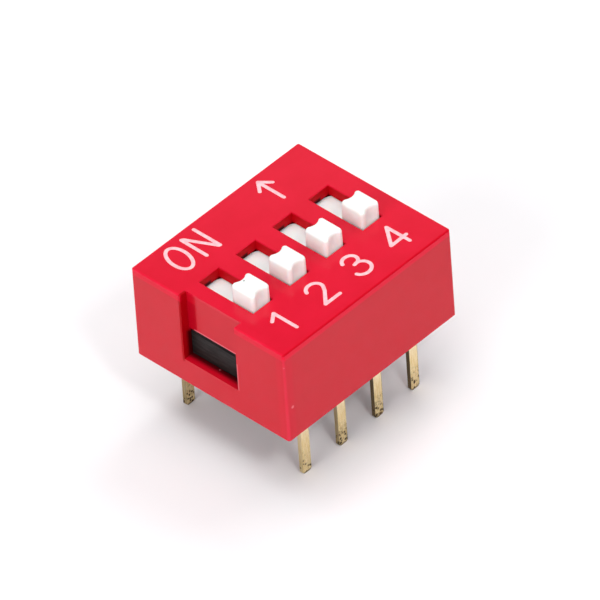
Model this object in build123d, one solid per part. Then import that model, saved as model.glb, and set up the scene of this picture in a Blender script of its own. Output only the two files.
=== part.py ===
from build123d import *
from math import asin, atan2, degrees
import os

# A four-position slide switch block for a circuit board.
# Millimetres, +Z up. The origin is the centre of the seating plane, where the underside meets the board.
# +X runs from position 1 to position 4. +Y points to the ON side of the slots.

# Grid of the switch positions and of the terminal rows
PITCH = 2.54
POSITIONS = 4
ROW_SPACING = 7.62

# Cover: red moulding, open underneath
TOP_WALL = 0.6
SIDE_WALL = 0.65
END_WEB = 0.47
RIB = 0.4
SLIDER_SPACE = 1.7
DRAFT_ANGLE = 0.3
CORNER_RADIUS = 0.14
TOP_EDGE_RADIUS = 0.06
MOUTH_CHAMFER = 0.25

# Slots in the cover's top
SLOT_WIDTH = 1.34
SLOT_LENGTH = 3.5
SLOT_EDGE_CHAMFER = 0.04

# Recess that marks the -X end of the cover, and the snap window in each end
RECESS_WIDTH = 3.5
RECESS_DEPTH = 0.5
RECESS_CORNER_RADIUS = 0.2
SILL_HEIGHT = 1.45
WINDOW_HEIGHT = 1.65

# Base: black moulding that carries the terminals
BASE_HEIGHT = 3.1
BASE_EDGE = 0.46
BASE_CLEARANCE = 0.03
BASE_CHAMFER = 0.2
LATCH_CLEARANCE = 0.05
LATCH_LEAD = 0.22

# Terminals: strip metal, bent from a pin into a contact pad
TERMINAL_THICKNESS = 0.22
PIN_WIDTH = 0.58
PIN_LENGTH = 3.95
PIN_TIP_CHAMFER = 0.1
PAD_WIDTH = 1.2
PAD_PROUD = 0.05
PAD_DROP = 0.9
BEND_RADIUS = 0.15
PAD_GAP_START = -0.15
PAD_GAP = 1.25

# Sliders: knob on a shoulder plate
TRAVEL = 2.0
KNOB_WIDTH = 1.24
KNOB_PROUD = 1.02
KNOB_END_CLEARANCE = 0.03
KNOB_CORNER_RADIUS = 0.16
KNOB_EDGE_RADIUS = 0.2
SCOOP_WIDTH = 0.78
SCOOP_DEPTH = 0.13
PLATE_THICKNESS = 0.8
PLATE_CEILING_GAP = 0.05
PLATE_SIDE_GAP = 0.06
PLATE_END_COVER = 0.05
PLATE_CORNER_RADIUS = 0.8
GROOVE_DEPTH = 0.25
GROOVE_SIDE_GAP = 0.05

# Contacts: bridge springs staked under the sliders
CONTACT_THICKNESS = 0.1
CONTACT_WIDTH = 1.1
CONTACT_GAP = 0.03
CONTACT_SPAN = 3.0
CONTACT_SEAT = 0.9
SEAT_BEND_RADIUS = 0.2
TOE_RADIUS = 0.25
TIP_ANGLE = 45
TIP_LENGTH = 0.2
SLIT_WIDTH = 0.16
STAKE_RADIUS = 0.22
STAKE_CLEARANCE = 0.01
STAKE_HEAD_RADIUS = 0.38
STAKE_HEAD_HEIGHT = 0.12

# Heights above the seating plane
CEILING = BASE_HEIGHT + SLIDER_SPACE
BODY_HEIGHT = CEILING + TOP_WALL
PAD_TOP = BASE_HEIGHT + PAD_PROUD
PLATE_TOP = CEILING - PLATE_CEILING_GAP
PLATE_BOTTOM = PLATE_TOP - PLATE_THICKNESS
GROOVE_ROOF = PLATE_BOTTOM + GROOVE_DEPTH
KNOB_TOP = BODY_HEIGHT + KNOB_PROUD

# Plan sizes at the seating plane
CHANNEL_WIDTH = PITCH - RIB
ROW_LENGTH = (POSITIONS - 1) * PITCH
CAVITY_LENGTH = ROW_LENGTH + CHANNEL_WIDTH
BODY_LENGTH = CAVITY_LENGTH + 2 * (END_WEB + RECESS_DEPTH)
CAVITY_WIDTH = ROW_SPACING + 2 * (BASE_EDGE + BASE_CLEARANCE)
BODY_WIDTH = CAVITY_WIDTH + 2 * SIDE_WALL
BASE_LENGTH = CAVITY_LENGTH - 2 * BASE_CLEARANCE
BASE_WIDTH = CAVITY_WIDTH - 2 * BASE_CLEARANCE

# The knob fills its slot apart from the travel and the clearance at both ends
KNOB_LENGTH = SLOT_LENGTH - TRAVEL - 2 * KNOB_END_CLEARANCE
REST_Y = -TRAVEL / 2
PLATE_WIDTH = CHANNEL_WIDTH - 2 * PLATE_SIDE_GAP
PLATE_LENGTH = SLOT_LENGTH + TRAVEL + 2 * PLATE_END_COVER

SWITCH_X = [(i - (POSITIONS - 1) / 2) * PITCH for i in range(POSITIONS)]
BOTTOM_UP = (Align.CENTER, Align.CENTER, Align.MIN)
TOP_DOWN = (Align.CENTER, Align.CENTER, Align.MAX)


def flare(length, width, depth, z, direction):
    """A 45 degree lead-in: grows by `depth` on every side towards the mouth at height z."""
    inner = Pos(0, 0, z + direction * depth) * Rectangle(length, width)
    mouth = Pos(0, 0, z) * Rectangle(length + 2 * depth, width + 2 * depth)
    return loft(Sketch() + [mouth, inner])


def end_recess():
    """The cut in the -X end: a recess open at the top, standing on a sill with rounded corners."""
    height = BODY_HEIGHT - SILL_HEIGHT
    face = Plane.YZ.offset(RECESS_DEPTH - BODY_LENGTH / 2) * Pos(0, SILL_HEIGHT) * Rectangle(
        RECESS_WIDTH, 2 * height, align=(Align.CENTER, Align.MIN)
    )
    foot = face.vertices().group_by(Axis.Z)[0]
    return extrude(fillet(foot, RECESS_CORNER_RADIUS), amount=-2 * RECESS_DEPTH)


def make_cover():
    outline = RectangleRounded(BODY_LENGTH, BODY_WIDTH, CORNER_RADIUS)
    body = extrude(outline, BODY_HEIGHT, taper=DRAFT_ANGLE)
    body = fillet(body.faces().sort_by(Axis.Z)[-1].edges(), TOP_EDGE_RADIUS)

    body -= Box(CAVITY_LENGTH, CAVITY_WIDTH, BASE_HEIGHT, align=BOTTOM_UP)
    body -= flare(CAVITY_LENGTH, CAVITY_WIDTH, MOUTH_CHAMFER, 0, 1)
    channel = Pos(0, 0, BASE_HEIGHT) * Box(CHANNEL_WIDTH, CAVITY_WIDTH, SLIDER_SPACE, align=BOTTOM_UP)
    slot = Pos(0, 0, BODY_HEIGHT) * Box(SLOT_WIDTH, SLOT_LENGTH, 3 * TOP_WALL)
    slot += flare(SLOT_WIDTH, SLOT_LENGTH, SLOT_EDGE_CHAMFER, BODY_HEIGHT, -1)
    for x in SWITCH_X:
        body -= Pos(x, 0, 0) * channel
        body -= Pos(x, 0, 0) * slot

    for side in (-1, 1):
        body -= Pos(side * BODY_LENGTH / 2, 0, SILL_HEIGHT) * Box(
            2 * (END_WEB + RECESS_DEPTH), RECESS_WIDTH, WINDOW_HEIGHT, align=BOTTOM_UP
        )
    return body - end_recess()


def latch():
    """The boss on the base's +X end that snaps into the cover's window, with a ramp at its top."""
    reach = BODY_LENGTH / 2 - RECESS_DEPTH - LATCH_CLEARANCE
    height = WINDOW_HEIGHT - 2 * LATCH_CLEARANCE
    start = BASE_LENGTH / 2 - END_WEB
    boss = Pos(start, 0, SILL_HEIGHT + LATCH_CLEARANCE) * Box(
        reach - start, RECESS_WIDTH - 2 * LATCH_CLEARANCE, height, align=(Align.MIN, Align.CENTER, Align.MIN)
    )
    outer_face = boss.faces().sort_by(Axis.X)[-1]
    return chamfer(outer_face.edges().sort_by(Axis.Z)[-1], LATCH_LEAD)


def make_base(terminals):
    body = Box(BASE_LENGTH, BASE_WIDTH, BASE_HEIGHT, align=BOTTOM_UP)
    body = chamfer(body.faces().sort_by(Axis.Z)[0].edges(), BASE_CHAMFER)
    body += latch()
    body += mirror(latch(), Plane.YZ)
    for terminal in terminals.values():
        body -= terminal
    return body


def make_terminal(x, side, pad_end):
    """A strip with its pin at x in the row on `side` (-1 or 1) and its pad reaching in to y = pad_end."""
    row = side * ROW_SPACING / 2
    outer = row + side * TERMINAL_THICKNESS / 2
    inner = row - side * TERMINAL_THICKNESS / 2
    pad_bottom = PAD_TOP - TERMINAL_THICKNESS
    outline = Polyline(
        (outer, -PIN_LENGTH), (outer, PAD_TOP), (pad_end, PAD_TOP),
        (pad_end, pad_bottom), (inner, pad_bottom), (inner, -PIN_LENGTH), close=True,
    )
    section = make_face(outline)
    corners = section.vertices()
    outside = corners.sort_by_distance((outer, PAD_TOP))[0]
    section = fillet(outside, BEND_RADIUS + TERMINAL_THICKNESS)
    inside = section.vertices().sort_by_distance((inner, pad_bottom))[0]
    section = fillet(inside, BEND_RADIUS)
    strip = extrude(Plane.YZ * section, PAD_WIDTH / 2, both=True)

    pin = Pos(0, -PIN_LENGTH) * Rectangle(PIN_WIDTH, PIN_LENGTH + PAD_TOP, align=(Align.CENTER, Align.MIN))
    pin = chamfer(pin.vertices().group_by(Axis.Y)[0], PIN_TIP_CHAMFER)
    head = Pos(0, PAD_TOP) * Rectangle(PAD_WIDTH, PAD_DROP, align=(Align.CENTER, Align.MAX))
    front = extrude(Plane.XZ * (pin + head), ROW_SPACING, both=True)
    return Pos(x, 0, 0) * (strip & front)


def make_knob(foot):
    """A block from the height `foot` with rounded top and upright edges, and a finger scoop in its -Y and +Y faces."""
    knob = Pos(0, 0, foot) * Box(KNOB_WIDTH, KNOB_LENGTH, KNOB_TOP - foot, align=BOTTOM_UP)
    knob = fillet(knob.faces().sort_by(Axis.Z)[-1].edges(), KNOB_EDGE_RADIUS)
    outline = RectangleRounded(KNOB_WIDTH, KNOB_LENGTH, KNOB_CORNER_RADIUS)
    around = Rectangle(2 * KNOB_WIDTH, 2 * KNOB_LENGTH) - outline
    knob -= extrude(around, amount=2 * KNOB_TOP)
    scoop_radius = (SCOOP_WIDTH**2 / 4 + SCOOP_DEPTH**2) / (2 * SCOOP_DEPTH)
    axis_y = KNOB_LENGTH / 2 - SCOOP_DEPTH + scoop_radius
    for side in (-1, 1):
        knob -= Pos(0, side * axis_y, KNOB_TOP) * Cylinder(scoop_radius, 2 * KNOB_TOP)
    return knob


def make_slider(x):
    """Built at its OFF end: a knob on a shoulder plate, with the stake that holds the contact under it."""
    knob = make_knob(PLATE_BOTTOM + PLATE_THICKNESS / 2)
    outline = RectangleRounded(PLATE_WIDTH, PLATE_LENGTH, PLATE_CORNER_RADIUS)
    shoulder = Pos(0, 0, PLATE_BOTTOM) * extrude(outline, PLATE_THICKNESS)
    shoulder -= Pos(0, 0, PLATE_BOTTOM) * Box(
        CONTACT_WIDTH + 2 * GROOVE_SIDE_GAP, PLATE_LENGTH, GROOVE_DEPTH, align=BOTTOM_UP
    )

    stake_foot = GROOVE_ROOF - CONTACT_THICKNESS
    stake = Pos(0, 0, stake_foot) * Cylinder(STAKE_RADIUS, CONTACT_THICKNESS, align=BOTTOM_UP)
    head = Pos(0, 0, stake_foot) * Cylinder(STAKE_HEAD_RADIUS, STAKE_HEAD_HEIGHT, align=TOP_DOWN)
    head = chamfer(head.faces().sort_by(Axis.Z)[0].edges(), STAKE_HEAD_HEIGHT / 2)
    return Pos(x, REST_Y, 0) * (shoulder + knob + stake + head)


def contact_underside():
    """The spring's underside from its middle to one tip: flat seat, sloping arm, round toe, upturned tip."""
    seat_z = GROOVE_ROOF - CONTACT_THICKNESS
    seat_end = Vector(CONTACT_SEAT / 2, seat_z)
    centre = Vector(CONTACT_SPAN / 2, PAD_TOP + CONTACT_GAP + TOE_RADIUS)
    reach = centre - seat_end
    slope = degrees(atan2(-reach.Y, reach.X) + asin(TOE_RADIUS / reach.length))
    toe = CenterArc(centre, TOE_RADIUS, 270 - slope, slope + TIP_ANGLE)
    arm = FilletPolyline((0, seat_z), seat_end, toe @ 0, radius=SEAT_BEND_RADIUS)
    tip = Line(toe @ 1, toe @ 1 + (toe % 1) * TIP_LENGTH)
    return arm + toe + tip


def make_contact(x):
    """A bridge spring: its ribbon section, slit from both ends into fingers, with a hole for the stake."""
    half = contact_underside()
    underside = (half + mirror(half, Plane.YZ)).wire()
    section = make_face(offset(underside, CONTACT_THICKNESS, side=Side.LEFT))
    ribbon = extrude(Plane.YZ * section, CONTACT_WIDTH / 2, both=True)
    slit = Pos(0, CONTACT_SEAT / 2 + SLIT_WIDTH, 0) * Box(
        SLIT_WIDTH, CONTACT_SPAN, 2 * CEILING, align=(Align.CENTER, Align.MIN, Align.CENTER)
    )
    ribbon -= slit
    ribbon -= mirror(slit, Plane.XZ)
    ribbon -= Cylinder(STAKE_RADIUS + STAKE_CLEARANCE, 2 * CEILING)
    return Pos(x, REST_Y, 0) * ribbon


def make_terminals():
    """Numbered as on the board: along the -Y row from position 1, then back along the +Y row."""
    near = [make_terminal(x, -1, PAD_GAP_START) for x in SWITCH_X]
    far = [make_terminal(x, 1, PAD_GAP_START + PAD_GAP) for x in reversed(SWITCH_X)]
    return {f"terminal_{i}": solid for i, solid in enumerate(near + far, 1)}


def main():
    nodes = {"cover": make_cover()}
    terminals = make_terminals()
    nodes["base"] = make_base(terminals)
    nodes.update(terminals)
    for i, x in enumerate(SWITCH_X, 1):
        nodes[f"slider_{i}"] = make_slider(x)
        nodes[f"contact_{i}"] = make_contact(x)
    os.makedirs("parts", exist_ok=True)
    for name, solid in nodes.items():
        export_step(solid, f"parts/{name}.step")


main()
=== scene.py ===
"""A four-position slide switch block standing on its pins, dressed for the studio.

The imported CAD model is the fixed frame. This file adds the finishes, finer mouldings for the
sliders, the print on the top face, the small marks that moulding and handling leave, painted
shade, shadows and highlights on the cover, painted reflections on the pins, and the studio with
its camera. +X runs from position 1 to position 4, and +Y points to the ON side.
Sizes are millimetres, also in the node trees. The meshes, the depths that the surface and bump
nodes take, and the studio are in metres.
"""

import logging
from dataclasses import dataclass, field
from enum import Enum
from functools import reduce

import bpy
import numpy as np
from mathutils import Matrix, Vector


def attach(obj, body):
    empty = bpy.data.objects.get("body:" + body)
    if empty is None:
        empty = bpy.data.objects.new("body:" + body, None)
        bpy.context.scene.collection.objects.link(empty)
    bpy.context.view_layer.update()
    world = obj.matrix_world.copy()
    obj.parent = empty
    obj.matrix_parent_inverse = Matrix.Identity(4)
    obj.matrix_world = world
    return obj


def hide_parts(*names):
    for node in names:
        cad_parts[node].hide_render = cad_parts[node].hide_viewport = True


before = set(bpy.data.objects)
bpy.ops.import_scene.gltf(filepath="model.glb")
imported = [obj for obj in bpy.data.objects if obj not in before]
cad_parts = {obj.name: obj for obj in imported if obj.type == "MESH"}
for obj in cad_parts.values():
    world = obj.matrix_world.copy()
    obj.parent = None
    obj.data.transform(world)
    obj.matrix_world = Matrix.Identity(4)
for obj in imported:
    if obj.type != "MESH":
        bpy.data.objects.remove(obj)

LOG = logging.getLogger("slide_switch")
MM = 0.001
PITCH = 2.54
TOP_FACE = 5.4
TINY = 1e-9
Socket = bpy.types.NodeSocket
Sockets = bpy.types.NodeOutputs
Value = float | tuple[float, ...] | Socket
Triple = tuple[float, float, float]
Points = np.ndarray


def column_x(column: int) -> float:
    """The x of a position's middle, with positions 1 to 4 centred on the origin."""
    return (column - 2.5) * PITCH


class Kind(Enum):
    """The node kinds that the finishes and the dome are wired from."""

    COORDINATES = "ShaderNodeTexCoord"
    NOISE = "ShaderNodeTexNoise"
    CELLS = "ShaderNodeTexVoronoi"
    MATH = "ShaderNodeMath"
    VECTOR_MATH = "ShaderNodeVectorMath"
    SPLIT = "ShaderNodeSeparateXYZ"
    RANGE = "ShaderNodeMapRange"
    MIX = "ShaderNodeMix"
    BUMP = "ShaderNodeBump"
    SURFACE = "ShaderNodeBsdfPrincipled"
    OUTPUT = "ShaderNodeOutputMaterial"
    GLOW = "ShaderNodeBackground"
    DOME_OUTPUT = "ShaderNodeOutputWorld"
    GROUP = "ShaderNodeGroup"
    GROUP_IN = "NodeGroupInput"
    GROUP_OUT = "NodeGroupOutput"


class Body(Enum):
    """The CAD bodies that new pieces ride on."""

    HOUSING = "housing"
    SLIDE_1 = "slide_1"
    SLIDE_2 = "slide_2"
    SLIDE_3 = "slide_3"
    SLIDE_4 = "slide_4"


class Graph:
    """A node tree with short calls for adding nodes and wiring them."""

    def __init__(self, tree: bpy.types.NodeTree) -> None:
        """Take over a tree and empty it.

        Args:
            tree: the tree of a material, a world or a node group.
        """
        self.tree = tree
        tree.nodes.clear()

    def add(
        self, kind: Kind, inputs: dict[str | int, Value] | None = None, **settings: object
    ) -> bpy.types.Node:
        """Add one node.

        Args:
            kind: which node.
            inputs: by socket name or number, a value to set or a socket to wire from.
            settings: attributes of the node, such as operation or data_type.

        Returns:
            The new node.
        """
        node = self.tree.nodes.new(kind.value)
        for name, value in settings.items():
            setattr(node, name, value)
        for name, value in (inputs or {}).items():
            if isinstance(value, Socket):
                self.tree.links.new(value, node.inputs[name])
            else:
                node.inputs[name].default_value = value
        return node

    def math(self, operation: str, *values: Value, clamp: bool = False) -> Socket:
        """Work out one scalar operation.

        Args:
            operation: the Math node's operation.
            values: its inputs in order.
            clamp: whether the result is held between 0 and 1.

        Returns:
            The result.
        """
        return self.add(Kind.MATH, dict(enumerate(values)), operation=operation, use_clamp=clamp).outputs[0]

    def most(self, *values: Value) -> Socket:
        """The greatest of several values."""
        return reduce(lambda one, other: self.math("MAXIMUM", one, other), values)

    def vector(self, operation: str, *values: Value) -> Sockets:
        """One vector operation. The first output is a vector, and a distance is the output Value."""
        return self.add(Kind.VECTOR_MATH, dict(enumerate(values)), operation=operation).outputs

    def split(self, vector: Socket) -> Sockets:
        """A vector's x, y and z."""
        return self.add(Kind.SPLIT, {0: vector}).outputs

    def where(self) -> Socket:
        """The point's Object coordinates, turned into millimetres."""
        return self.vector("MULTIPLY", self.add(Kind.COORDINATES).outputs["Object"], (1.0 / MM,) * 3)[0]

    def folded(self, centre: Value) -> Socket:
        """The point's distance from a centre along each axis, without its sign."""
        return self.vector("ABSOLUTE", self.vector("SUBTRACT", self.where(), centre)[0])[0]

    def ramp(self, value: Value, low: Value, high: Value, start: float = 0.0, end: float = 1.0) -> Socket:
        """Carry a value from one range smoothly into another.

        Args:
            value: what is mapped.
            low: where the ramp starts.
            high: where it ends.
            start: the result up to low.
            end: the result from high on.

        Returns:
            The mapped value.
        """
        inputs = {0: value, 1: low, 2: high, 3: start, 4: end}
        return self.add(Kind.RANGE, inputs, interpolation_type="SMOOTHSTEP").outputs[0]

    def fade(self, value: Value, reach: Value) -> Socket:
        """1 up to a value of zero, falling smoothly to 0 at the reach."""
        return self.ramp(value, 0.0, reach, 1.0, 0.0)

    def contrast(self, noise: Socket, spread: float = 0.2) -> Socket:
        """Stretch noise about its middle: 0 from the spread below a half, 1 from the spread above it."""
        return self.ramp(noise, 0.5 - spread, 0.5 + spread)

    def mix(self, below: Value, over: Value, mask: Value, strength: float = 1.0) -> Socket:
        """Lay one colour over another.

        Args:
            below: the colour where the mask is 0.
            over: the colour that shows through the mask.
            mask: how much of it shows.
            strength: what the mask is multiplied by.

        Returns:
            The blended colour.
        """
        share = mask if strength == 1.0 else self.math("MULTIPLY", mask, strength)
        first, second = ((*one, 1.0) if isinstance(one, tuple) else one for one in (below, over))
        return self.add(Kind.MIX, {0: share, 6: first, 7: second}, data_type="RGBA").outputs[2]

    def noise(self, where: Socket, size: Value, detail: float = 3.0) -> Socket:
        """A soft random value from 0 to 1 at each point.

        Args:
            where: the coordinates.
            size: the size of a lump.
            detail: how many finer layers are added.

        Returns:
            The value.
        """
        scale = self.math("DIVIDE", 1.0, size)
        return self.add(Kind.NOISE, {"Vector": where, "Scale": scale, "Detail": detail}).outputs[0]

    def bump(self, height: Socket, depth: float, strength: float = 1.0) -> Socket:
        """Turn a height into a tilted normal.

        Args:
            height: the height, from about 0 to 1.
            depth: what a height of 1 stands for.
            strength: how much the normal tilts.

        Returns:
            The normal.
        """
        inputs = {"Strength": strength, "Distance": depth * MM, "Height": height}
        return self.add(Kind.BUMP, inputs).outputs[0]

    def shade(self, inputs: dict[str, Value]) -> None:
        """Add the surface shader and join it to the material's output.

        Args:
            inputs: the shader's inputs by name.
        """
        surface = self.add(Kind.SURFACE, inputs)
        self.add(Kind.OUTPUT, {"Surface": surface.outputs[0]})


class Effect(Graph):
    """A shader effect that several finishes share, as the tree of one node group."""

    name: str = ""
    inputs: dict[str, float | Triple] = {}
    outputs: tuple[str, ...] = ("Mask",)

    def __init__(self) -> None:
        """Make the group with its named sockets and wire its inside."""
        super().__init__(bpy.data.node_groups.new(self.name, "ShaderNodeTree"))
        for name, value in self.inputs.items():
            kind = "NodeSocketVector" if isinstance(value, tuple) else "NodeSocketFloat"
            socket = self.tree.interface.new_socket(name, in_out="INPUT", socket_type=kind)
            socket.default_value = value
        for name in self.outputs:
            self.tree.interface.new_socket(name, in_out="OUTPUT", socket_type="NodeSocketFloat")
        self.given = self.add(Kind.GROUP_IN).outputs
        self.add(Kind.GROUP_OUT, dict(zip(self.outputs, self.wire())))

    def wire(self) -> tuple[Socket, ...]:
        """Wire the inside of the group from the inputs that it is given.

        Returns:
            One socket for each output, in order.
        """
        raise NotImplementedError

    def place(self, graph: Graph, **values: Value) -> Sockets:
        """Put the effect in a material.

        Args:
            graph: the material's tree.
            values: inputs by name, with _ for a space.

        Returns:
            The group's outputs by name.
        """
        node = graph.add(Kind.GROUP, node_tree=self.tree)
        for name, value in values.items():
            node.inputs[name.replace("_", " ").capitalize()].default_value = value
        return node.outputs


class MouldGrain(Effect):
    """The skin that a mould leaves: a fine even grain over slow waves of flow."""

    name = "mould_grain"
    inputs = {"Grain size": 0.05, "Wave size": 1.2}
    outputs = ("Height", "Flow")
    fine_detail: float = 2.0
    slow_share: float = 0.35

    def wire(self) -> tuple[Socket, ...]:
        """Height is fine noise with a third of slow noise added. Flow is the slow noise alone.

        Returns:
            The height and the flow.
        """
        where = self.where()
        fine = self.noise(where, self.given["Grain size"], self.fine_detail)
        slow = self.noise(where, self.given["Wave size"])
        return self.math("MULTIPLY_ADD", slow, self.slow_share, fine), self.contrast(slow)


class EdgeWearAndHighlight(Effect):
    """Colour along the outer edges of a block: wear, and on the plastics a painted highlight as well."""

    name = "edge_wear_and_highlight"
    inputs = {"Centre": (0.0, 0.0, 0.0), "Half size": (1.0, 1.0, 1.0), "Reach": 0.1, "Patch size": 0.6}
    patch_detail: float = 4.0
    patch_spread: float = 0.15

    def wire(self) -> tuple[Socket, ...]:
        """A point on an edge is near two faces of the block at once, so the middle one of its three
        distances to the faces is near zero. The mask fades with that distance and is broken by noise.

        Returns:
            The mask.
        """
        depth = self.vector("SUBTRACT", self.given["Half size"], self.folded(self.given["Centre"]))[0]
        x, y, z = self.split(depth)
        lesser = self.math("MINIMUM", x, y)
        greater = self.math("MAXIMUM", x, y)
        middle = self.math("MAXIMUM", lesser, self.math("MINIMUM", greater, z))
        patches = self.noise(self.where(), self.given["Patch size"], self.patch_detail)
        broken = self.contrast(patches, self.patch_spread)
        return (self.math("MULTIPLY", self.fade(middle, self.given["Reach"]), broken),)


class Specks(Effect):
    """Scattered round specks, such as dust, pits or tarnish."""

    name = "specks"
    inputs = {"Spacing": 0.4, "Share": 0.2, "Spread": 0.2}

    def wire(self) -> tuple[Socket, ...]:
        """Each cell of a random scatter has one point. A share of the cells show a soft dot there, and
        the spread is its size in the cell.

        Returns:
            The mask.
        """
        scale = self.math("DIVIDE", 1.0, self.given["Spacing"])
        cells = self.add(Kind.CELLS, {"Vector": self.where(), "Scale": scale}).outputs
        chosen = self.math("LESS_THAN", self.split(cells["Color"])[0], self.given["Share"])
        return (self.math("MULTIPLY", self.fade(cells["Distance"], self.given["Spread"]), chosen),)


class Spot(Effect):
    """One soft mark at a known place."""

    name = "spot"
    inputs = {"Place": (0.0, 0.0, 0.0), "Radius": 0.05}
    core: float = 0.4
    least_stretch: float = 0.5
    ragged_size: float = 0.0625

    def wire(self) -> tuple[Socket, ...]:
        """The mask is 1 in the core and fades to 0 at the radius. The distance from the place is
        multiplied by the least stretch plus fine noise, so that the outline is ragged.

        Returns:
            The mask.
        """
        where, radius = self.where(), self.given["Radius"]
        away = self.vector("DISTANCE", where, self.given["Place"])["Value"]
        stretch = self.math("ADD", self.least_stretch, self.noise(where, self.ragged_size))
        ragged = self.math("MULTIPLY", away, stretch)
        return (self.ramp(ragged, self.math("MULTIPLY", radius, self.core), radius, 1.0, 0.0),)


class Block(Effect):
    """Everything inside a box with soft sides."""

    name = "block"
    inputs = {"Centre": (0.0, 0.0, 0.0), "Half size": (1.0, 1.0, 1.0), "Softness": 0.03}

    def wire(self) -> tuple[Socket, ...]:
        """How far a point is outside the box is the greatest of its three offsets past the half sizes.
        The mask is 1 inside and fades over the softness outside.

        Returns:
            The mask.
        """
        past = self.vector("SUBTRACT", self.folded(self.given["Centre"]), self.given["Half size"])[0]
        return (self.fade(self.most(*self.split(past)), self.given["Softness"]),)


class Streaks(Effect):
    """Long fine streaks, as rolling or a worn mould leaves them."""

    name = "streaks"
    inputs = {"Stretch": (1.0, 1.0, 0.12), "Width": 0.07}
    outputs = ("Value",)

    def wire(self) -> tuple[Socket, ...]:
        """Noise whose coordinates are shrunk along one axis, so that its lumps are drawn out along it.

        Returns:
            The streaks, from 0 to 1.
        """
        drawn = self.vector("MULTIPLY", self.where(), self.given["Stretch"])[0]
        return (self.contrast(self.noise(drawn, self.given["Width"])),)


@dataclass
class Effects:
    """The shared effects, each built once."""

    grain: MouldGrain = field(default_factory=MouldGrain)
    wear_and_highlight: EdgeWearAndHighlight = field(default_factory=EdgeWearAndHighlight)
    specks: Specks = field(default_factory=Specks)
    spot: Spot = field(default_factory=Spot)
    block: Block = field(default_factory=Block)
    streaks: Streaks = field(default_factory=Streaks)


@dataclass(frozen=True)
class Mark:
    """A place where a finish has another colour: a box with soft sides, or with a radius a round spot.

    The share is how much of the colour shows, and dull is how much of the clear coat it takes away.
    """

    centre: Triple
    colour: Triple
    half_size: Triple = (0.0, 0.0, 0.0)
    share: float = 1.0
    softness: float = 0.03
    radius: float = 0.0
    dull: float = 0.0

    def lay(self, graph: Graph, effects: Effects, below: Socket, coat: Value) -> tuple[Socket, Value]:
        """Lay the mark over a colour and take some of the coat away.

        Args:
            graph: the material's tree.
            effects: the shared effects.
            below: the colour so far.
            coat: the coat's weight so far.

        Returns:
            The colour and the coat's weight with the mark.
        """
        if self.radius:
            laid = effects.spot.place(graph, place=self.centre, radius=self.radius)
        else:
            sizes = {"half_size": self.half_size, "softness": self.softness}
            laid = effects.block.place(graph, centre=self.centre, **sizes)
        mask = laid["Mask"]
        if self.dull:
            coat = graph.math("MULTIPLY", coat, graph.math("MULTIPLY_ADD", mask, -self.dull, 1.0))
        return graph.mix(below, self.colour, mask, self.share), coat


def new_material(name: str) -> tuple[bpy.types.Material, Graph]:
    """Make a material with an empty tree.

    Args:
        name: the material's name.

    Returns:
        The material and its graph.
    """
    material = bpy.data.materials.new(name)
    material.use_nodes = True
    return material, Graph(material.node_tree)


@dataclass(frozen=True)
class PlasticFinish:
    """A moulded plastic: its colour, coat, grain, streaks, edges paler from wear and a painted highlight,
    dust and marks.

    The centre and half sizes are those of the block whose edges get the wear and the painted highlight.
    """

    name: str
    colour: Triple
    shade: Triple
    wear_and_highlight_colour: Triple
    centre: Triple
    half_size: Triple
    reach: float = 0.1
    wear_and_highlight: float = 0.5
    roughness: float = 0.5
    grain_roughness: float = 0.12
    grain_middle: float = 0.08
    grain_depth: float = 0.003
    specular: float = 0.5
    coat: float = 0.0
    coat_roughness: float = 0.17
    translucency: float = 0.0
    scatter: float = 0.25
    scatter_by_colour: Triple = (1.0, 0.8, 0.7)
    dust: Triple = (0.6, 0.57, 0.55)
    dust_share: float = 0.06
    dust_spacing: float = 0.35
    dust_spread: float = 0.13
    dust_strength: float = 0.5
    streak: Triple = (0.0, 0.0, 0.0)
    streak_share: float = 0.0
    streak_stretch: Triple = (1.0, 0.16, 1.0)
    streak_width: float = 0.16
    marks: tuple[Mark, ...] = ()

    def material(self, effects: Effects) -> bpy.types.Material:
        """Wire the finish.

        Args:
            effects: the shared effects.

        Returns:
            The material.
        """
        material, graph = new_material(self.name)
        grain = effects.grain.place(graph)
        colour = graph.mix(self.shade, self.colour, grain["Flow"])
        if self.streak_share:
            drawn = effects.streaks.place(graph, stretch=self.streak_stretch, width=self.streak_width)
            colour = graph.mix(colour, self.streak, drawn["Value"], self.streak_share)
        # Paler colour along the edges: wear, and on the cover a painted highlight.
        wear_and_highlight = effects.wear_and_highlight.place(graph, centre=self.centre, half_size=self.half_size, reach=self.reach)
        colour = graph.mix(colour, self.wear_and_highlight_colour, wear_and_highlight["Mask"], self.wear_and_highlight)
        if self.dust_share:
            sizes = {"spacing": self.dust_spacing, "spread": self.dust_spread}
            dust = effects.specks.place(graph, share=self.dust_share, **sizes)
            colour = graph.mix(colour, self.dust, dust["Mask"], self.dust_strength)
        coat = self.coat
        for mark in self.marks:
            colour, coat = mark.lay(graph, effects, colour, coat)
        least = self.roughness - self.grain_middle
        graph.shade(
            {
                "Base Color": colour,
                "Roughness": graph.math("MULTIPLY_ADD", grain["Height"], self.grain_roughness, least),
                "Normal": graph.bump(grain["Height"], self.grain_depth),
                "Specular IOR Level": self.specular,
                "Coat Weight": coat,
                "Coat Roughness": self.coat_roughness,
                "Subsurface Weight": self.translucency,
                "Subsurface Radius": self.scatter_by_colour,
                "Subsurface Scale": self.scatter * MM,
            }
        )
        return material


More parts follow.
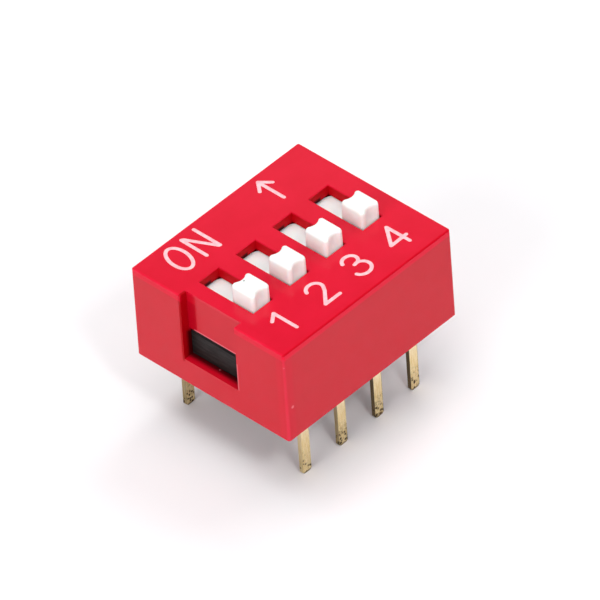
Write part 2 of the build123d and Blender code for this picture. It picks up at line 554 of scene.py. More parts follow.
@dataclass(frozen=True)
class PlatedFinish:
    """Gold-plated strip metal: rolled streaks, side faces with a painted dark reflection, worn edges, a
    painted reflection near the top, and tarnish pits and darkening at the tip.

    The centre and half sizes are those of the pin. Each pair of shares is the least and what is added.
    """

    name: str
    centre: Triple
    half_size: Triple
    speckle: float = 0.15
    side_dark_reflection: float = 0.92
    colour: Triple = (0.80, 0.60, 0.27)
    pale: Triple = (0.93, 0.77, 0.45)
    reflected_cream: Triple = (1.0, 0.93, 0.74)
    reflected_cream_heights: tuple[float, float] = (-2.2, -0.4)
    reflected_cream_share: float = 0.7
    tarnish_and_dark_reflection: Triple = (0.05, 0.028, 0.009)
    dark_tip_height: float = 1.6
    tip_dark_shares: tuple[float, float] = (0.14, 1.8)
    pit_spacing: float = 0.15
    pit_spread: float = 0.8
    edge_reach: float = 0.06
    edge_patch: float = 0.3
    edge_wear: tuple[float, float] = (0.3, 0.6)
    side_reflection_depths: tuple[float, float] = (0.02, 0.008)
    cut_height: float = 0.18
    cut_share: float = 0.9
    roughness: tuple[float, float] = (0.15, 0.1)
    darkened_roughness: float = 0.4
    darkened_cover: float = 0.9
    specular: float = 0.15
    streak_depth: float = 0.002
    streak_bump: float = 0.5

    def tarnish_and_dark_reflection_share(self, graph: Graph, effects: Effects, height: Socket, x: Socket) -> Socket:
        """Where the metal is dark, as the greatest of four shares.

        Towards the tip the metal is slightly darker, with darker pits. The edges are worn in patches, more so
        near the tip. The side faces have a painted dark reflection, and the cut end is dark.

        Args:
            graph: the material's tree.
            effects: the shared effects.
            height: the point's z.
            x: the point's x.

        Returns:
            The share of tarnish.
        """
        tip = self.centre[2] - self.half_size[2]
        # Darker towards the tip, and darker still in the pits.
        low = graph.ramp(height, tip, tip + self.dark_tip_height, 1.0, 0.0)
        sizes = {"spacing": self.pit_spacing, "spread": self.pit_spread}
        pits = effects.specks.place(graph, share=self.speckle, **sizes)["Mask"]
        least, added = self.tip_dark_shares
        tip_dark = graph.math("MULTIPLY", low, graph.math("MULTIPLY_ADD", pits, added, least))
        sizes = {"half_size": self.half_size, "reach": self.edge_reach, "patch_size": self.edge_patch}
        edge = effects.wear_and_highlight.place(graph, centre=self.centre, **sizes)["Mask"]
        least, added = self.edge_wear
        worn = graph.math("MULTIPLY", edge, graph.math("MULTIPLY_ADD", low, added, least))
        # Painted dark reflection on the side faces of the pin.
        aside = graph.math("ABSOLUTE", graph.math("SUBTRACT", x, self.centre[0]))
        inner, outer = (self.half_size[0] - depth for depth in self.side_reflection_depths)
        side = graph.ramp(aside, inner, outer, 0.0, self.side_dark_reflection)
        cut = graph.ramp(height, tip, tip + self.cut_height, self.cut_share, 0.0)
        return graph.math("MAXIMUM", graph.most(tip_dark, worn, side), cut, clamp=True)

    def material(self, effects: Effects) -> bpy.types.Material:
        """Wire the finish.

        Args:
            effects: the shared effects.

        Returns:
            The material.
        """
        material, graph = new_material(self.name)
        rolled = effects.streaks.place(graph)["Value"]
        x, _, height = graph.split(graph.where())
        tarnish_and_dark_reflection = self.tarnish_and_dark_reflection_share(graph, effects, height, x)
        # Painted reflection of the bright floor: towards the top the pin turns a paler cream.
        painted_top_reflection = graph.ramp(height, *self.reflected_cream_heights, 0.0, self.reflected_cream_share)
        colour = graph.mix(graph.mix(self.colour, self.pale, rolled), self.reflected_cream, painted_top_reflection)
        least, added = self.roughness
        grain = graph.math("MULTIPLY_ADD", rolled, added, least)
        graph.shade(
            {
                "Base Color": graph.mix(colour, self.tarnish_and_dark_reflection, tarnish_and_dark_reflection),
                "Roughness": graph.math("MULTIPLY_ADD", tarnish_and_dark_reflection, self.darkened_roughness, grain),
                "Metallic": graph.math("MULTIPLY_ADD", tarnish_and_dark_reflection, -self.darkened_cover, 1.0),
                "Specular IOR Level": self.specular,
                "Normal": graph.bump(rolled, self.streak_depth, self.streak_bump),
            }
        )
        return material


@dataclass(frozen=True)
class InkFinish:
    """Pad-printed ink: pale, thin enough for the plastic to tint it, with pinholes."""

    name: str = "print_ink"
    colour: Triple = (0.93, 0.56, 0.59)
    thin: Triple = (0.90, 0.42, 0.46)
    roughness: float = 0.5
    grain_size: float = 0.03
    wave_size: float = 0.25
    grain_depth: float = 0.002
    grain_bump: float = 0.5
    hole_spacing: float = 0.06
    hole_share: float = 0.15
    hole_spread: float = 0.35
    hole_strength: float = 0.5

    def material(self, effects: Effects) -> bpy.types.Material:
        """Wire the finish.

        Args:
            effects: the shared effects.

        Returns:
            The material.
        """
        material, graph = new_material(self.name)
        grain = effects.grain.place(graph, grain_size=self.grain_size, wave_size=self.wave_size)
        sizes = {"spacing": self.hole_spacing, "spread": self.hole_spread}
        holes = effects.specks.place(graph, share=self.hole_share, **sizes)
        colour = graph.mix(self.thin, self.colour, grain["Flow"])
        graph.shade(
            {
                "Base Color": graph.mix(colour, self.thin, holes["Mask"], self.hole_strength),
                "Roughness": self.roughness,
                "Normal": graph.bump(grain["Height"], self.grain_depth, self.grain_bump),
            }
        )
        return material


def add_object(name: str, data: bpy.types.ID) -> bpy.types.Object:
    """Put a mesh, light or camera into the scene.

    Args:
        name: the object's name.
        data: what it shows.

    Returns:
        The new object, at the origin.
    """
    made = bpy.data.objects.new(name, data)
    bpy.context.scene.collection.objects.link(made)
    return made


@dataclass
class Form:
    """Points and faces that are worked out before they become a mesh."""

    points: Points
    faces: list[list[int]]

    def joined(self, *others: "Form") -> "Form":
        """This form and others in one, each keeping its own points.

        Args:
            others: the other forms.

        Returns:
            The form of all.
        """
        points, faces = self.points, list(self.faces)
        for other in others:
            faces += [[corner + len(points) for corner in face] for face in other.faces]
            points = np.vstack([points, other.points])
        return Form(points, faces)

    def piece(self, name: str, body: Body, material: bpy.types.Material) -> bpy.types.Object:
        """Put the form into a mesh that rides on a body.

        Args:
            name: the piece's name.
            body: the body that carries the piece.
            material: its finish.

        Returns:
            The new object, at the origin.
        """
        mesh = bpy.data.meshes.new(name)
        mesh.from_pydata((self.points * MM).astype(np.float32), [], self.faces)
        mesh.polygons.foreach_set("use_smooth", np.ones(len(self.faces), bool))
        mesh.update()
        mesh.materials.append(material)
        piece = add_object(name, mesh)
        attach(piece, body.value)
        LOG.info("%s: %d points, %d faces", name, len(self.points), len(self.faces))
        return piece


def lofted(rings: Points) -> Form:
    """A closed form through rings of points.

    Neighbouring rings are joined by four-cornered faces, and the first and last ring are each closed by
    a fan to their middle. The rings run anticlockwise seen against the way that they follow each other.

    Args:
        rings: an array of ring, place in the ring and x, y, z.

    Returns:
        The form.
    """
    count, size = rings.shape[:2]
    numbers = np.arange(count * size).reshape(count, size)
    ahead = np.roll(numbers, -1, axis=1)
    walls = np.stack([numbers[:-1], ahead[:-1], ahead[1:], numbers[1:]], -1).reshape(-1, 4)
    first, last = count * size, count * size + 1
    bottom = np.stack([ahead[0], numbers[0], np.full(size, first)], -1)
    top = np.stack([numbers[-1], ahead[-1], np.full(size, last)], -1)
    points = np.vstack([rings.reshape(-1, 3), rings[0].mean(0), rings[-1].mean(0)])
    return Form(points, walls.tolist() + bottom.tolist() + top.tolist())


def dress(name: str, material: bpy.types.Material) -> None:
    """Give a CAD node its finish, with the mesh as it is.

    Args:
        name: the CAD node's name.
        material: its finish.
    """
    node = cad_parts[name]
    node.data.materials.clear()
    node.data.materials.append(material)
    LOG.info("%s: %s", name, material.name)


def arc(
    centre: tuple[float, float], radii: tuple[float, float], start: float, end: float, steps: int = 28
) -> Points:
    """Points along an ellipse: centre plus the radii times the cosine and sine of the angle.

    Args:
        centre: x and y of the middle.
        radii: the half widths along x and y.
        start: first angle in degrees, from +x towards +y.
        end: last angle in degrees.
        steps: how many runs.

    Returns:
        One row of x, y for each point.
    """
    turn = np.radians(np.linspace(start, end, steps + 1))
    return np.column_stack([centre[0] + radii[0] * np.cos(turn), centre[1] + radii[1] * np.sin(turn)])


def leaned(points: Points, share: float) -> Points:
    """Lean a stroke: x moves by a share of y's distance from the stroke's mean y."""
    return points + np.column_stack([share * (points[:, 1] - points[:, 1].mean()), np.zeros(len(points))])


def run(*corners: tuple[float, float]) -> Points:
    """A stroke of straight runs through its corners."""
    return np.array(corners, float)


@dataclass
class TopPrint:
    """The pale print on the top face: ON, an arrow to the ON side and the position numbers."""

    stroke: float = 0.195
    film: float = 0.010
    bite: float = 0.004
    cell: float = 0.022
    edge: float = 0.05

    def strokes(self) -> dict[str, list[Points]]:
        """Lay out each character as the centrelines of its strokes, seen from above.

        Returns:
            The strokes by piece name.
        """
        first_of_n = ((-2.88, 2.76), (-2.86, 4.44), (-2.77, 4.38))
        last_of_n = ((-1.99, 2.80), (-1.93, 2.78), (-1.93, 4.50))
        foot_of_2 = run((-1.17, -3.28), (-1.84, -3.96), (-0.84, -3.96))
        return {
            "print_letter_o": [leaned(arc((-3.87, 3.61), (0.50, 0.865), 90, 450, 48), 0.11)],
            "print_letter_n": [run(*first_of_n, *last_of_n)],
            "print_arrow_on": [
                run((2.50, 2.76), (2.50, 4.44)),
                run((2.05, 3.92), (2.50, 4.47), (2.95, 3.92)),
            ],
            "print_digit_1": [run((-4.36, -2.86), (-3.88, -2.50), (-3.88, -4.00))],
            "print_digit_2": [np.vstack([arc((-1.40, -2.85), (0.45, 0.40), 165, -25), foot_of_2])],
            "print_digit_3": [
                np.vstack([arc((1.12, -2.78), (0.42, 0.36), 165, -60), run((1.08, -3.12))]),
                arc((1.14, -3.53), (0.50, 0.45), 80, -165),
            ],
            "print_digit_4": [run((4.02, -3.98), (4.00, -2.48), (3.17, -3.56), (4.24, -3.54))],
        }

    def distance(self, points: Points, stroke: Points) -> tuple[Points, Points]:
        """The distance of each point to a stroke, and the nearest place on it.

        For every run of the stroke the point is dropped at right angles on the run, kept between the
        run's ends, and the nearest of these feet is the place.

        Args:
            points: one row of x, y for each point.
            stroke: the stroke's centreline.

        Returns:
            The distances, and the nearest places.
        """
        start, step = stroke[:-1], np.diff(stroke, axis=0)
        offset = points[:, None, :] - start[None]
        share = np.clip((offset * step).sum(2) / (step**2).sum(1), 0.0, 1.0)
        feet = start + share[..., None] * step
        away = np.linalg.norm(points[:, None, :] - feet, axis=2)
        nearest = away.argmin(1)
        rows = np.arange(len(points))
        return away[rows, nearest], feet[rows, nearest]

    def film_form(self, strokes: list[Points]) -> Form:
        """Work out one character's film of ink.

        On a fine grid over the character, cells that the nearest stroke reaches are kept, the corners
        outside the stroke are pulled in on to its outline, and the film is thickest along the
        centreline: its height rises from zero at the outline as a quarter circle over the edge's width.

        Args:
            strokes: the character's centrelines.

        Returns:
            The film.
        """
        half = self.stroke / 2
        everything = np.vstack(strokes)
        low, high = everything.min(0) - self.stroke, everything.max(0) + self.stroke
        count = np.ceil((high - low) / self.cell).astype(int) + 1
        x, y = np.meshgrid(*(low[axis] + self.cell * np.arange(count[axis]) for axis in range(2)))
        grid = np.column_stack([x.ravel(), y.ravel()])
        found = [self.distance(grid, stroke) for stroke in strokes]
        away = np.column_stack([distance for distance, _ in found])
        nearest = away.argmin(1)
        rows = np.arange(len(grid))
        away, feet = away[rows, nearest], np.stack([place for _, place in found], 1)[rows, nearest]
        pull = (half / np.maximum(away, TINY))[:, None]
        flat = np.where((away > half)[:, None], feet + (grid - feet) * pull, grid)
        inset = np.clip((half - away) / self.edge, 0.0, 1.0)
        height = self.film * np.sqrt(1.0 - (1.0 - inset) ** 2)

        numbers = rows.reshape(count[1], count[0])
        around = [numbers[:-1, :-1], numbers[:-1, 1:], numbers[1:, 1:], numbers[1:, :-1]]
        corners = np.stack(around, -1).reshape(-1, 4)
        faces = corners[(away[corners] < half).sum(1) >= 2]
        used, renumbered = np.unique(faces, return_inverse=True)
        points = np.column_stack([flat[used], TOP_FACE + height[used]])
        return self.backed(points, renumbered.reshape(-1, 4))

    def backed(self, points: Points, faces: Points) -> Form:
        """Close the film: a flat back just under the top face, and a wall round every outline.

        An edge that only one face has is part of an outline.

        Args:
            points: the film's upper surface.
            faces: four corners for each face.

        Returns:
            The closed film.
        """
        count = len(points)
        back = np.column_stack([points[:, :2], np.full(count, TOP_FACE - self.bite)])
        edges = np.stack([faces, np.roll(faces, -1, axis=1)], -1).reshape(-1, 2)
        _, first, uses = np.unique(np.sort(edges, axis=1), axis=0, return_index=True, return_counts=True)
        start, end = edges[first[uses == 1]].T
        walls = np.stack([end, start, start + count, end + count], -1)
        return Form(np.vstack([points, back]), np.vstack([faces, faces[:, ::-1] + count, walls]).tolist())

    def build(self, ink: bpy.types.Material) -> None:
        """Make every character.

        Args:
            ink: the print's finish.
        """
        for name, strokes in self.strokes().items():
            self.film_form(strokes).piece(name, Body.HOUSING, ink)


@dataclass
class Cover:
    """The red moulding, with its finish."""

    half_size: Triple = (5.85, 4.95, 2.7)
    centre: Triple = (0.0, 0.0, 2.7)
    # Colours of the painted shade, shadows and highlights on the cover; pale_line also colours the specks.
    shaded_red: Triple = (0.50, 0.001, 0.006)
    near_red: Triple = (0.63, 0.001, 0.02)
    highlight_red: Triple = (0.86, 0.006, 0.045)
    shaded_wall_red: Triple = (0.40, 0.0, 0.004)
    shadow_strip_red: Triple = (0.42, 0.0, 0.01)
    dark_edge_red: Triple = (0.57, 0.0, 0.012)
    edge_highlight_red: Triple = (0.66, 0.02, 0.05)
    shadow_black: Triple = (0.03, 0.0, 0.001)
    pale_line: Triple = (0.85, 0.25, 0.30)

    def side_marks(self) -> tuple[Mark, ...]:
        """Painted shade: the sides are a deeper red than the top, and less so round the near upright edge."""
        return (
            # Painted shade on the sides, lighter round the near upright edge.
            Mark((0.0, 0.0, 2.6), self.shaded_red, (5.9, 5.0, 2.6), share=0.5, softness=0.12, dull=0.15),
            Mark((-5.85, -4.95, 2.6), self.near_red, (0.4, 0.4, 2.7), share=0.6, softness=0.25, dull=0.2),
        )

    def slot_marks(self) -> tuple[Mark, ...]:
        """Painted shade: the slots are deep red and dull, and the gap at each slider's ON end is painted
        black as its shadow.

        Returns:
            The marks.
        """
        # Painted shade on the slot walls, with the coat taken away.
        slots = Mark((0.0, 0.0, 4.4), self.shaded_red, (4.8, 1.8, 0.93), softness=0.04, dull=1.0)
        # Painted shadow in the gap at each slider's ON end.
        places = [(column_x(column) - 0.25, 1.75, 4.7) for column in range(1, 5)]
        size = (0.3, 0.2, 0.22)
        return slots, *(Mark(place, self.shadow_black, size, share=0.95, softness=0.12) for place in places)

    def recess_marks(self) -> tuple[Mark, ...]:
        """Painted shade and highlights: the recess's +Y wall is a painted shaded deep red, a strip beside it
        is a painted shadow of that wall, and the window's reveal is painted dark as shadow. Pale lines along
        the window's upper edge and its -Y edge are painted highlights.

        Returns:
            The marks.
        """
        return (
            # Painted shade on the recess wall, and a painted shadow of it on the strip beside it.
            Mark((-5.65, 1.8, 3.4), self.shaded_wall_red, (0.26, 0.06, 2.1), softness=0.02, dull=1.0),
            Mark((-5.35, 1.5, 3.9), self.shadow_strip_red, (0.03, 0.2, 0.85), share=0.85, softness=0.1, dull=0.95),
            # Painted shadow on the window's reveal.
            Mark((-5.27, 0.0, 2.1), self.shadow_black, (0.10, 1.8, 0.72), share=0.93, softness=0.32, dull=1.0),
            # Painted highlights along the window's upper edge and its -Y edge.
            Mark((-5.35, -0.1, 3.13), self.pale_line, (0.04, 1.5, 0.02), share=0.5, softness=0.05),
            Mark((-5.85, -1.78, 2.3), self.pale_line, (0.08, 0.015, 0.8), share=0.35, softness=0.05),
        )

    def edge_marks(self) -> tuple[Mark, ...]:
        """Just under the top's -X and -Y edges the sides are a brighter red, a painted highlight. A darker
        red line without coat runs along the -Y edge, and a painted pale highlight runs down the near upright
        edge.

        Returns:
            The marks.
        """
        return (
            # Painted highlight just under the top edges.
            Mark((-5.88, 0.0, 5.22), self.highlight_red, (0.05, 4.8, 0.1), share=0.45, softness=0.15, dull=0.35),
            Mark((0.0, -4.97, 5.22), self.highlight_red, (5.8, 0.05, 0.1), share=0.6, softness=0.15, dull=0.5),
            # A darker red line without coat along the top's -Y edge.
            Mark((0.0, -4.9, 5.4), self.dark_edge_red, (5.8, 0.045, 0.05), softness=0.05, dull=1.0),
            # Painted highlight down the near upright edge.
            Mark((-5.85, -4.95, 2.5), self.edge_highlight_red, (0.07, 0.07, 2.6), share=0.8, softness=0.1),
        )

    def specks(self) -> tuple[Mark, ...]:
        """Three small pale specks that handling left, one at the near upright edge and two low down."""
        return (
            Mark((-5.85, -4.93, 4.62), self.pale_line, share=0.4, radius=0.11),
            Mark((-5.45, -4.95, 1.96), self.pale_line, share=0.6, radius=0.11),
            Mark((-5.35, -0.1, 1.38), self.pale_line, share=0.7, radius=0.09),
        )

    def build(self, effects: Effects) -> None:
        """Dress the moulding. Its marks are laid in order, each over the ones before.

        Args:
            effects: the shared effects.
        """
        broad_marks = self.side_marks() + self.slot_marks() + self.recess_marks()
        finish = PlasticFinish(
            name="red_moulding",
            colour=(0.655, 0.003, 0.026),
            shade=(0.625, 0.002, 0.022),
            # A paler red along the edges, for wear and a painted highlight.
            wear_and_highlight_colour=(0.80, 0.045, 0.10),
            specular=0.05,
            coat=0.52,
            centre=self.centre,
            half_size=self.half_size,
            translucency=0.1,
            dust_share=0.0,
            marks=broad_marks + self.edge_marks() + self.specks(),
        )
        dress("cover", finish.material(effects))


@dataclass
class Slider:
    """One white slider: a knob with finger scoops on a shoulder plate, and the stake under the plate.

    It stands at its OFF end. The knob and the plate have their x and y sizes, the scoop its width and
    depth, and the plate the heights of its underside, its groove's roof and its top. The stake's circles
    have their rises from that roof and their radii.
    """

    number: int
    rest_y: float = -1.0
    top: float = 6.42
    knob: tuple[float, float] = (1.24, 1.44)
    knob_corner: float = 0.17
    inner_corner: float = 0.03
    knob_edge: float = 0.26
    knob_draft: float = 0.01
    draft_from: float = 5.3
    scoop: tuple[float, float] = (0.80, 0.15)
    wall_heights: tuple[float, ...] = (4.4, 4.9, 5.35, 5.5, 5.7, 5.9)
    wall_scoops: tuple[float, ...] = (0.15, 0.15, 0.25, 0.55, 0.85, 1.0)
    top_scoop: float = 0.7
    closing: tuple[float, ...] = (0.85, 0.6, 0.3, 0.1)
    plate: tuple[float, float] = (2.02, 5.60)
    plate_corner: float = 0.8
    plate_edge: float = 0.05
    plate_heights: Triple = (3.95, 4.20, 4.75)
    last_stations: tuple[float, ...] = (0.95, 0.98, 0.995, 1.0)
    groove: float = 0.60
    overlap: float = 0.01
    stake_rises: tuple[float, ...] = (-0.22, -0.21, -0.17, -0.12, -0.10, -0.10, 0.05)
    stake_radii: tuple[float, ...] = (0.304, 0.342, 0.38, 0.38, 0.361, 0.22, 0.22)
    stake_points: int = 24
    corner_points: int = 9
    scoop_points: int = 22
    straight_points: int = 12
    edge_points: int = 10
    edge_half_height: float = 3.0

    def outline(self, inset: float, corner: float, scoop_share: float) -> Points:
        """The knob's plan: a rectangle with rounded corners whose -Y and +Y sides are scooped.

        The four corners are quarter circles. Between two corners a side runs straight, and on the -Y and
        +Y sides it is moved in by the scoop's depth times one less the square of x over the scoop's half
        width. It runs anticlockwise seen from above, from the +Y end of the +X side.

        Args:
            inset: how far the sides are moved in from the knob's full size.
            corner: the corner radius.
            scoop_share: how much of the scoop's full depth is taken.

        Returns:
            One row of x, y for each place in the ring.
        """
        half_x, half_y = self.knob[0] / 2 - inset, self.knob[1] / 2 - inset
        turn = np.radians(np.linspace(0.0, 90.0, self.corner_points))
        x_run = np.linspace(half_x - corner, corner - half_x, self.scoop_points)[1:-1]
        y_run = np.linspace(corner - half_y, half_y - corner, self.straight_points)[1:-1]
        quarter = corner * np.column_stack([np.cos(turn), np.sin(turn)]) + (half_x - corner, half_y - corner)
        width, full_depth = self.scoop
        depth = full_depth * scoop_share * np.clip(1.0 - (2.0 * x_run / width) ** 2, 0.0, 1.0)
        back = np.column_stack([x_run, half_y - depth])
        side = np.column_stack([np.full_like(y_run, half_x), y_run])
        upper = np.vstack([quarter, back, (quarter * (-1.0, 1.0))[::-1]])
        return np.vstack([upper, -side, -upper, side])

    def knob_form(self) -> Form:
        """Carry the outline up the knob, round the top edge and close the top.

        Over the edge the outline goes from the full one to the inner one by one less the cosine of the
        angle, and the height follows its sine. The walls lean in by the draft. The scoop is shallow at
        the cover's face, deepest under the edge and shallower again over it.

        Returns:
            The form.
        """
        edge = self.knob_edge
        turn = np.radians(np.linspace(0.0, 90.0, self.edge_points))
        shares = np.concatenate([self.wall_scoops, np.interp(turn, [0.0, np.pi / 2], [1.0, self.top_scoop])])
        heights = np.concatenate([self.wall_heights, self.top - edge + edge * np.sin(turn)])
        lean = np.clip((heights - self.draft_from) / (self.top - self.draft_from), 0.0, 1.0) * self.knob_draft
        insets = np.concatenate([np.zeros(len(self.wall_heights)), 1.0 - np.cos(turn)])
        rings = []
        for height, share, inset, draft in zip(heights, shares, insets, lean):
            full = self.outline(draft, self.knob_corner, share)
            inner = self.outline(edge, self.inner_corner, share)
            rings.append(np.insert(full + (inner - full) * inset, 2, height, axis=1))
        rim = rings[-1]
        middle = rim.mean(0)
        rings += [middle + (rim - middle) * scale for scale in self.closing]
        return lofted(np.array(rings))

    def block(
        self, y: Points, left: Points, right: Points, low: float, high: float, soft: float = 0.0
    ) -> Form:
        """Carry a four-sided profile along Y, with its two top corners rounded.

        Each corner is a quarter circle, and over the two ends the top falls as a quarter circle too.

        Args:
            y: the stations.
            left: the low x at each station.
            right: the high x at each station.
            low: the underside's height.
            high: the top's height.
            soft: the radius of the top corners, and of the top where it meets the two ends.

        Returns:
            The form.
        """
        turn = np.radians(np.linspace(0.0, 90.0, 5 if soft else 1))
        over = soft * (1.0 - np.cos(turn))
        rise = soft * np.sin(turn)
        reach = np.clip((np.abs(y) - np.abs(y).max() + soft) / max(soft, TINY), 0.0, 1.0)
        crest = high - soft * (1.0 - np.sqrt(1.0 - reach**2))
        room = np.minimum(1.0, (right - left) / max(2.0 * soft, TINY))[:, None]
        x_left, x_right = left[:, None] + over * room, right[:, None] - over[::-1] * room
        z_left = crest[:, None] - soft + rise
        foot = np.full((len(y), 1), low)
        x = np.hstack([left[:, None], x_left, x_right, right[:, None]])
        z = np.hstack([foot, z_left, z_left[:, ::-1], foot])
        return lofted(np.stack([x, np.broadcast_to(y[:, None], x.shape), z], -1))

    def plate_form(self) -> Form:
        """The shoulder plate: a slab with rounded plan corners over two rails that leave the groove open.

        Near its ends the half width falls by the corner radius less the root of its square less the
        square of the way past the corner's centre. The rails reach into the slab by the overlap.

        Returns:
            The form.
        """
        half_x, half_y, corner = self.plate[0] / 2, self.plate[1] / 2, self.plate_corner
        low, roof, high = self.plate_heights
        past = np.concatenate([np.linspace(0.0, 0.9, 10), self.last_stations])
        ends = half_y - corner + past * corner
        y = np.concatenate([-ends[::-1], np.linspace(-ends[0], ends[0], 8)[1:-1], ends])
        beyond = np.clip(np.abs(y) - (half_y - corner), 0.0, corner)
        width = half_x - corner + np.sqrt(corner**2 - beyond**2)
        slab = self.block(y, -width, width, roof, high, self.plate_edge)
        kept = width > self.groove + self.overlap
        inner, outer = np.full(kept.sum(), self.groove), width[kept] - self.overlap
        right = self.block(y[kept], inner, outer, low, roof + self.overlap)
        left = self.block(y[kept], -outer, -inner, low, roof + self.overlap)
        return slab.joined(right, left)

    def stake_form(self) -> Form:
        """The stake and its flattened head, as circles whose radius follows the height.

        Returns:
            The form.
        """
        turn = np.linspace(0.0, 2.0 * np.pi, self.stake_points, endpoint=False)
        plan = np.array(self.stake_radii)[:, None, None] * np.column_stack([np.cos(turn), np.sin(turn)])
        heights = (self.plate_heights[1] + np.array(self.stake_rises))[:, None, None]
        return lofted(np.concatenate([plan, np.broadcast_to(heights, (*plan.shape[:2], 1))], axis=2))

    def build(self, effects: Effects) -> None:
        """Make the slider at its place, with its finish.

        Args:
            effects: the shared effects.
        """
        x = column_x(self.number)
        form = self.plate_form().joined(self.knob_form(), self.stake_form())
        form.points = form.points + (x, self.rest_y, 0.0)
        finish = PlasticFinish(
            name=f"white_slider_{self.number}",
            colour=(0.865, 0.965, 0.93),
            shade=(0.85, 0.945, 0.905),
            wear_and_highlight_colour=(0.885, 0.965, 0.93),
            roughness=0.4,
            centre=(x, self.rest_y, self.top - self.edge_half_height),
            half_size=(self.knob[0] / 2, self.knob[1] / 2, self.edge_half_height),
            reach=0.12,
            translucency=0.5,
            scatter=0.3,
            dust=(0.3, 0.28, 0.26),
            dust_share=0.02,
            marks=(Mark((-3.87, -0.67, 6.4), (0.2, 0.19, 0.18), share=0.8, radius=0.08),),
        )
        body = Body[f"SLIDE_{self.number}"]
        piece = form.piece(f"slider_{self.number}_moulding", body, finish.material(effects))
        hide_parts(f"slider_{self.number}")


@dataclass
class Base:
    """The black base with its eight terminals, whose pits and painted dark side reflections differ from pin
    to pin.
    """

    half_size: Triple = (5.3, 4.24, 1.55)
    centre: Triple = (0.0, 0.0, 1.55)
    row: float = 3.81
    pin_middle: float = -1.95
    pin_half_size: Triple = (0.29, 0.11, 2.0)
    speckle: tuple[float, ...] = (0.3, 0.95, 0.6, 0.2, 0.2, 0.3, 0.2, 0.6)
    side_dark_reflection: tuple[float, ...] = (0.4, 0.65, 0.92, 0.92, 0.92, 0.92, 0.92, 0.65)

    def build(self, effects: Effects) -> None:
        """Dress the base and its terminals.

        Args:
            effects: the shared effects.
        """
        finish = PlasticFinish(
            name="black_base",
            colour=(0.006, 0.004, 0.005),
            shade=(0.002, 0.002, 0.002),
            wear_and_highlight_colour=(0.03, 0.028, 0.03),
            streak=(0.022, 0.021, 0.020),
            streak_share=0.8,
            centre=self.centre,
            half_size=self.half_size,
            specular=0.2,
            grain_depth=0.005,
        )
        dress("base", finish.material(effects))
        for number, (speckle, side_dark_reflection) in enumerate(zip(self.speckle, self.side_dark_reflection), 1):
            column, side = (number, -1) if number < 5 else (9 - number, 1)
            plated = PlatedFinish(
                name=f"plated_terminal_{number}",
                centre=(column_x(column), side * self.row, self.pin_middle),
                half_size=self.pin_half_size,
                speckle=speckle,
                side_dark_reflection=side_dark_reflection,
            )
            dress(f"terminal_{number}", plated.material(effects))


def add_light(
    name: str, watts: float, size: tuple[float, float], place: Vector, back: Vector
) -> bpy.types.Object:
    """Hang a soft rectangular light.

    Args:
        name: the light's name.
        watts: its power.
        size: its width and height.
        place: where it hangs.
        back: the way that its back faces. It shines the other way.

    Returns:
        The light's object.
    """
    data = bpy.data.lights.new(name, "AREA")
    data.shape = "RECTANGLE"
    data.size, data.size_y = size
    data.energy = watts
    lamp = add_object(name, data)
    lamp.location = place
    lamp.rotation_mode = "QUATERNION"
    lamp.rotation_quaternion = back.to_track_quat("Z", "Y")
    return lamp


@dataclass(frozen=True)
class Lamp:
    """A square soft light that faces the origin. Angles are degrees."""

    name: str
    azimuth: float
    elevation: float
    distance: float
    side: float
    watts: float

    def hang(self) -> None:
        """Hang the light at its distance: azimuth runs from +X towards +Y, elevation up from the floor."""
        turn, rise = np.radians((self.azimuth, self.elevation))
        way = np.array((np.cos(rise) * np.cos(turn), np.cos(rise) * np.sin(turn), np.sin(rise)))
        place = Vector(self.distance * way)
        add_light(self.name, self.watts, (self.side, self.side), place, place)


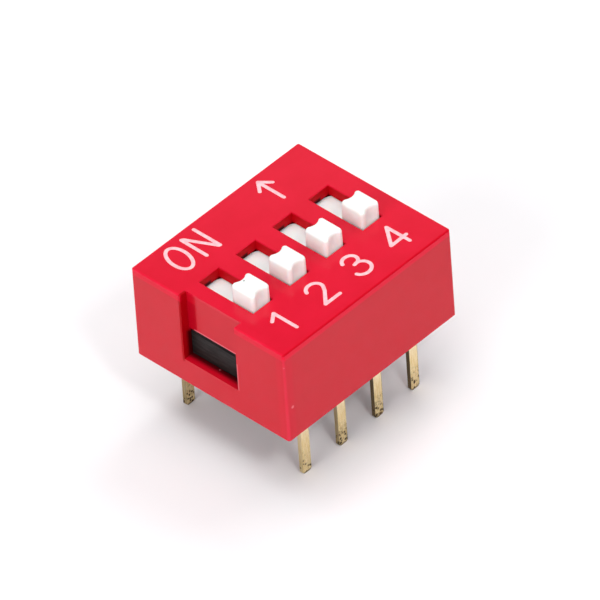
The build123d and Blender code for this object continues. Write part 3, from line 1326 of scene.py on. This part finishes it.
@dataclass
class Studio:
    """The pale floor, the soft lights and the camera at the photograph's place. Lengths are metres."""

    camera_place: Triple = (-0.27591, -0.28324, 0.35487)
    camera_turn: Triple = (0.84097, 0.05529, -0.82234)
    camera_range: tuple[float, float] = (0.01, 5.0)
    lens: float = 668.7
    sensor: float = 36.0
    floor_height: float = -0.00395
    floor_half_side: float = 0.75
    floor_colours: tuple[Triple, Triple] = ((0.86, 0.855, 0.87), (0.88, 0.875, 0.885))
    floor_cloud_mm: float = 10.0 / 3.0
    floor_roughness: float = 0.6
    floor_specular: float = 0.3
    dome: float = 0.315
    dome_dark: float = 0.021
    dome_colour: tuple[float, ...] = (1.0, 0.99, 1.0, 1.0)
    dark_towards: Triple = (0.523, 0.537, 0.662)
    dark_range: tuple[float, float] = (0.90, 0.98)
    card_place: tuple[float, float] = (0.0524, 0.0537)
    card_size: tuple[float, float] = (0.10, 0.045)
    card_top: float = 0.0715
    card_watts: float = 0.0108
    lamps: tuple[Lamp, ...] = (
        Lamp("key_light", -110.0, 50.0, 0.40, 0.06, 0.32),
        Lamp("left_light", -172.0, 30.0, 0.41, 0.20, 0.645),
        Lamp("top_light", 135.0, 81.0, 0.46, 0.30, 0.88),
        Lamp("front_light", -135.0, 29.5, 0.41, 0.25, 0.09),
        Lamp("side_light", -90.0, 25.0, 0.40, 0.20, 0.196),
        Lamp("right_light", -20.0, 50.0, 0.40, 0.15, 0.185),
        Lamp("back_light", 15.0, 60.0, 0.40, 0.10, 0.20),
    )

    def floor(self) -> None:
        """Lay the floor, a square sheet of faintly clouded paper."""
        mesh = bpy.data.meshes.new("floor")
        signs = ((-1, -1), (1, -1), (1, 1), (-1, 1))
        corners = [(x * self.floor_half_side, y * self.floor_half_side, self.floor_height) for x, y in signs]
        mesh.from_pydata(corners, [], [(0, 1, 2, 3)])
        piece = add_object("floor", mesh)
        material, graph = new_material("floor_paper")
        colour = graph.mix(*self.floor_colours, graph.noise(graph.where(), self.floor_cloud_mm))
        gloss = {"Roughness": self.floor_roughness, "Specular IOR Level": self.floor_specular}
        graph.shade({"Base Color": colour, **gloss})
        mesh.materials.append(material)

    def dome_light(self) -> None:
        """Light the dome evenly, but for a dark part that the top face mirrors.

        The dome's strength falls with how near a direction is to the dark one.
        """
        world = bpy.data.worlds.new("studio_dome")
        world.use_nodes = True
        bpy.context.scene.world = world
        graph = Graph(world.node_tree)
        way = graph.add(Kind.COORDINATES).outputs["Generated"]
        near = graph.vector("DOT_PRODUCT", way, self.dark_towards)["Value"]
        strength = graph.ramp(near, *self.dark_range, self.dome, self.dome_dark)
        light = graph.add(Kind.GLOW, {"Color": self.dome_colour, "Strength": strength})
        graph.add(Kind.DOME_OUTPUT, {"Surface": light.outputs[0]})

    def back_card(self) -> None:
        """Stand a glowing card behind the object, whose upper edge the top face mirrors."""
        place = Vector((*self.card_place, self.card_top - self.card_size[1] / 2))
        card = add_light("back_card", self.card_watts, self.card_size, place, Vector((*self.card_place, 0.0)))
        card.visible_camera = False

    def camera(self) -> None:
        """Set the camera that was fitted to the photograph."""
        data = bpy.data.cameras.new("camera")
        data.lens = self.lens
        data.sensor_width = self.sensor
        data.clip_start, data.clip_end = self.camera_range
        camera = add_object("camera", data)
        camera.location = self.camera_place
        camera.rotation_euler = self.camera_turn
        bpy.context.scene.camera = camera

    def build(self) -> None:
        """Set up the floor, the lights, the camera and the plain colour transform."""
        self.floor()
        self.dome_light()
        for lamp in self.lamps:
            lamp.hang()
        self.back_card()
        self.camera()
        bpy.context.scene.view_settings.view_transform = "Standard"
        LOG.info("studio: floor, dome, %d soft lights, card, camera", len(self.lamps))


def corners(box: tuple) -> list[list[float]]:
    """A box's lowest and highest corner as plain lists."""
    return [[round(float(v), 7) for v in corner] for corner in box]


def main() -> None:
    """Build the sub-assemblies in order."""
    logging.basicConfig(level=logging.INFO, format="%(message)s")
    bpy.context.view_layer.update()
    effects = Effects()
    Cover().build(effects)
    Base().build(effects)
    spring = PlatedFinish("contact_spring", (0.0, 0.0, 5.0), (6.0, 5.0, 3.0)).material(effects)
    for number in range(1, 5):
        Slider(number).build(effects)
        dress(f"contact_{number}", spring)
    TopPrint().build(InkFinish().material(effects))
    Studio().build()


if __name__ == "__main__":
    main()
